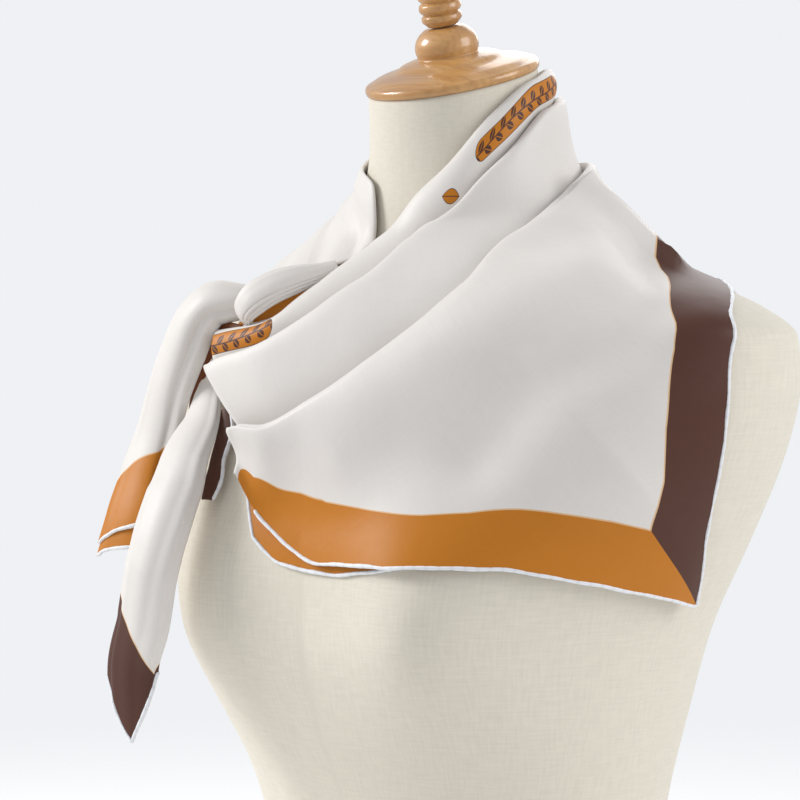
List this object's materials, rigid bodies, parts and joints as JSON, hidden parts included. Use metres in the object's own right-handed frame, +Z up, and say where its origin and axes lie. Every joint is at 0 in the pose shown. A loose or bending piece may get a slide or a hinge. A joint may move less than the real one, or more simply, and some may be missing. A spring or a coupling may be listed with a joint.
{
  "type": "silk square scarf on a dress form",
  "caption": "Square silk scarf folded on its diagonal, draped over the left shoulder of a limbless linen dress form and knotted at the right, with both corners hanging.",
  "frame": {"origin": "on the dress form's flat underside, under the middle of its neck", "axes": "+Z up, the dress form faces -Y, and its own left is +X"},
  "size_m": [0.414, 0.2867, 0.6455],
  "materials": {
    "silk": "ivory silk twill with a soft satin sheen",
    "orange_silk": "golden orange silk twill with a soft satin sheen",
    "brown_silk": "dark brown silk twill with a soft satin sheen",
    "linen": "matt cream linen, plain weave",
    "wood": "light honey wood, turned and clear lacquered"
  },
  "bodies": {
    "root": {"drape_front": "silk", "drape_back": "silk", "wrap_right": "silk", "under_layer": "orange_silk", "knot_band": "silk", "knot_hem": "orange_silk", "tail_orange": "silk", "tail_brown": "silk", "tail_brown_lining": "brown_silk", "form_body": "linen", "neck_cap": "wood", "finial": "wood"}
  },
  "joints": []
}
